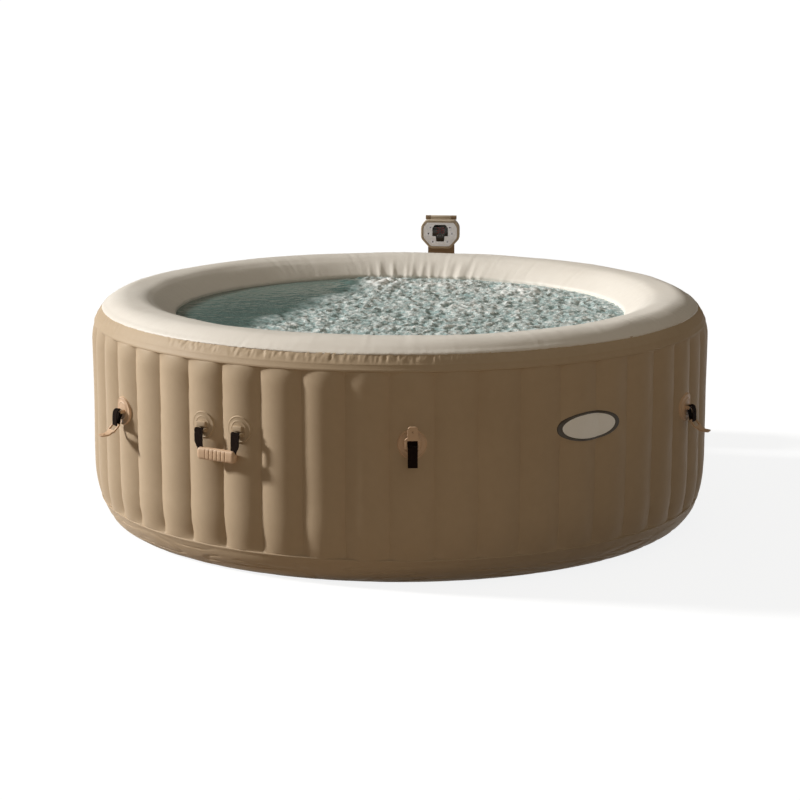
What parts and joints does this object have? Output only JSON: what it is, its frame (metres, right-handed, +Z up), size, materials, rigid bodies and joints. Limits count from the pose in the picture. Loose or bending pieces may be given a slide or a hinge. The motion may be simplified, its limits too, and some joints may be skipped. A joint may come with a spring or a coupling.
{
  "type": "inflatable hot tub",
  "caption": "Round inflatable hot tub with a fluted wall, soft rim, carry handles, cover latches and a free-standing pump, heater and blower unit with a tilting control head.",
  "frame": {"origin": "centre of the tub's flat underside, on the floor", "axes": "+Z up along the tub's axis, +Y from the axis towards the control unit, +X to the right seen from the side away from the unit"},
  "size_m": [1.96, 2.3519, 0.801],
  "materials": {
    "wall_pvc": "laminated PVC sheet, satin, fluted by inner webs",
    "liner_pvc": "soft PVC sheet, satin cream",
    "badge": "blank oval patch with a dark border",
    "tan_plastic": "moulded tan plastic",
    "webbing": "woven polyester webbing",
    "black_plastic": "moulded",
    "steel": "stainless",
    "brown_plastic": "moulded dark brown plastic",
    "shell_plastic": "moulded taupe plastic, fine grain",
    "rubber": "moulded rubber",
    "grey_plastic": "moulded",
    "face_grey": "light grey key panel",
    "filter_paper": "pleated filter cloth",
    "pipe_white": "pipe",
    "display": "dark display window",
    "board": "circuit board"
  },
  "bodies": {
    "tub": {"outer_wall": "wall_pvc", "inner_wall": "liner_pvc", "rim_panel": "liner_pvc", "cuff_band": "wall_pvc", "base_band": "wall_pvc", "tub_floor": "wall_pvc", "wall_webs": "liner_pvc", "bubble_channel": "liner_pvc", "handle_patches": "wall_pvc", "latch_patches": "tan_plastic", "latch_straps": "webbing", "badge_plate": "badge", "valve_body": "tan_plastic", "valve_spring": "steel", "drain_body": "tan_plastic", "wall_fittings": "brown_plastic", "fitting_gaskets": "rubber", "strainer_grid": "brown_plastic", "filter_housing": "grey_plastic", "filter_cartridge": "filter_paper", "unit_tray": "brown_plastic", "unit_front_shell": "shell_plastic", "unit_rear_shell": "shell_plastic", "unit_feet": "rubber", "unit_screws": "steel", "pump_housing": "brown_plastic", "heater_tube": "steel", "water_pipe": "pipe_white", "air_blower": "brown_plastic", "power_box": "grey_plastic"},
    "latch_front": {"latch_tongue_front": "tan_plastic"},
    "latch_right": {"latch_tongue_right": "tan_plastic"},
    "latch_left": {"latch_tongue_left": "tan_plastic"},
    "latch_back_right": {"latch_tongue_back_right": "tan_plastic"},
    "latch_back_left": {"latch_tongue_back_left": "tan_plastic"},
    "front_handle": {"front_handle_straps": "webbing", "front_handle_grip": "tan_plastic"},
    "rear_handle": {"rear_handle_straps": "webbing", "rear_handle_grip": "tan_plastic"},
    "valve_plunger": {"valve_plunger": "black_plastic"},
    "valve_cap": {"valve_cap": "tan_plastic"},
    "drain_cap": {"drain_cap": "tan_plastic"},
    "nut_inlet": {"union_nut_inlet": "brown_plastic"},
    "nut_outlet": {"union_nut_outlet": "brown_plastic"},
    "nut_air": {"union_nut_air": "brown_plastic"},
    "impeller": {"pump_impeller": "grey_plastic"},
    "fan": {"blower_fan": "grey_plastic"},
    "neck": {"neck_post": "brown_plastic"},
    "head": {"head_case": "brown_plastic", "head_bezel": "shell_plastic", "face_panel": "face_grey", "display_window": "display", "head_board": "board"},
    "key_top_left": {"key_top_left": "face_grey"},
    "key_top_right": {"key_top_right": "face_grey"},
    "key_mid_left": {"key_mid_left": "face_grey"},
    "key_mid_right": {"key_mid_right": "face_grey"},
    "key_low_left": {"key_low_left": "face_grey"},
    "key_low_right": {"key_low_right": "face_grey"}
  },
  "joints": [
    {"name": "latch_front_swing", "type": "hinge", "parent": "tub", "child": "latch_front", "pos_m": [0.13222, -1.00433, 0.42153], "axis": [0.9914, 0.1305, 0], "range_deg": [-5, 115]},
    {"name": "latch_right_swing", "type": "hinge", "parent": "tub", "child": "latch_right", "pos_m": [0.92725, -0.38408, 0.38636], "axis": [0.3827, 0.9239, 0], "range_deg": [-105, 47]},
    {"name": "latch_left_swing", "type": "hinge", "parent": "tub", "child": "latch_left", "pos_m": [-0.79625, -0.61099, 0.38636], "axis": [0.6088, -0.7934, 0], "range_deg": [-105, 47]},
    {"name": "latch_back_right_swing", "type": "hinge", "parent": "tub", "child": "latch_back_right", "pos_m": [0.79625, 0.61099, 0.38636], "axis": [-0.6088, 0.7934, 0], "range_deg": [-105, 47]},
    {"name": "latch_back_left_swing", "type": "hinge", "parent": "tub", "child": "latch_back_left", "pos_m": [-0.92725, 0.38408, 0.38636], "axis": [-0.3827, -0.9239, 0], "range_deg": [-105, 47]},
    {"name": "front_handle_swing", "type": "hinge", "parent": "tub", "child": "front_handle", "pos_m": [-0.4384, -0.88898, 0.43], "axis": [-0.8969, 0.4423, 0], "range_deg": [0, 140]},
    {"name": "rear_handle_swing", "type": "hinge", "parent": "tub", "child": "rear_handle", "pos_m": [0.4384, 0.88898, 0.43], "axis": [0.8969, -0.4423, 0], "range_deg": [0, 140]},
    {"name": "valve_press", "type": "slide", "parent": "tub", "child": "valve_plunger", "axis": [0.3827, -0.9239, 0], "range_m": [0, 0.006], "stiffness_N_per_m": 300, "springref_m": -0.004, "deforming": ["valve_spring"]},
    {"name": "valve_cap_turn", "type": "hinge", "parent": "tub", "child": "valve_cap", "pos_m": [-0.37503, 0.9054, 0.48], "axis": [-0.3827, 0.9239, 0], "continuous": true},
    {"name": "drain_cap_turn", "type": "hinge", "parent": "tub", "child": "drain_cap", "pos_m": [0.69297, 0.69297, 0.13], "axis": [0.7071, 0.7071, 0], "continuous": true},
    {"name": "nut_inlet_turn", "type": "hinge", "parent": "tub", "child": "nut_inlet", "pos_m": [-0.09541, 1.014, 0.16], "axis": [0, 1, 0], "continuous": true},
    {"name": "nut_outlet_turn", "type": "hinge", "parent": "tub", "child": "nut_outlet", "pos_m": [0.09541, 1.014, 0.16], "axis": [0, 1, 0], "continuous": true},
    {"name": "nut_air_turn", "type": "hinge", "parent": "tub", "child": "nut_air", "pos_m": [0, 1.014, 0.44], "axis": [0, 1, 0], "continuous": true},
    {"name": "impeller_spin", "type": "hinge", "parent": "tub", "child": "impeller", "pos_m": [-0.09541, 1.13, 0.16], "axis": [0, 1, 0], "continuous": true},
    {"name": "fan_spin", "type": "hinge", "parent": "tub", "child": "fan", "pos_m": [0, 1.182, 0.44], "axis": [0, 0, 1], "continuous": true},
    {"name": "neck_swivel", "type": "hinge", "parent": "tub", "child": "neck", "pos_m": [0.036, 1.215, 0.6], "axis": [0, 0, 1], "range_deg": [-90, 90]},
    {"name": "head_tilt", "type": "hinge", "parent": "neck", "child": "head", "pos_m": [0.036, 1.226, 0.793], "axis": [-1, 0, 0], "range_deg": [0, 40]},
    {"name": "key_top_left_press", "type": "slide", "parent": "head", "child": "key_top_left", "axis": [0, 1, 0], "range_m": [0, 0.0012], "stiffness_N_per_m": 400, "springref_m": -0.001},
    {"name": "key_top_right_press", "type": "slide", "parent": "head", "child": "key_top_right", "axis": [0, 1, 0], "range_m": [0, 0.0012], "stiffness_N_per_m": 400, "springref_m": -0.001},
    {"name": "key_mid_left_press", "type": "slide", "parent": "head", "child": "key_mid_left", "axis": [0, 1, 0], "range_m": [0, 0.0012], "stiffness_N_per_m": 400, "springref_m": -0.001},
    {"name": "key_mid_right_press", "type": "slide", "parent": "head", "child": "key_mid_right", "axis": [0, 1, 0], "range_m": [0, 0.0012], "stiffness_N_per_m": 400, "springref_m": -0.001},
    {"name": "key_low_left_press", "type": "slide", "parent": "head", "child": "key_low_left", "axis": [0, 1, 0], "range_m": [0, 0.0012], "stiffness_N_per_m": 400, "springref_m": -0.001},
    {"name": "key_low_right_press", "type": "slide", "parent": "head", "child": "key_low_right", "axis": [0, 1, 0], "range_m": [0, 0.0012], "stiffness_N_per_m": 400, "springref_m": -0.001}
  ]
}
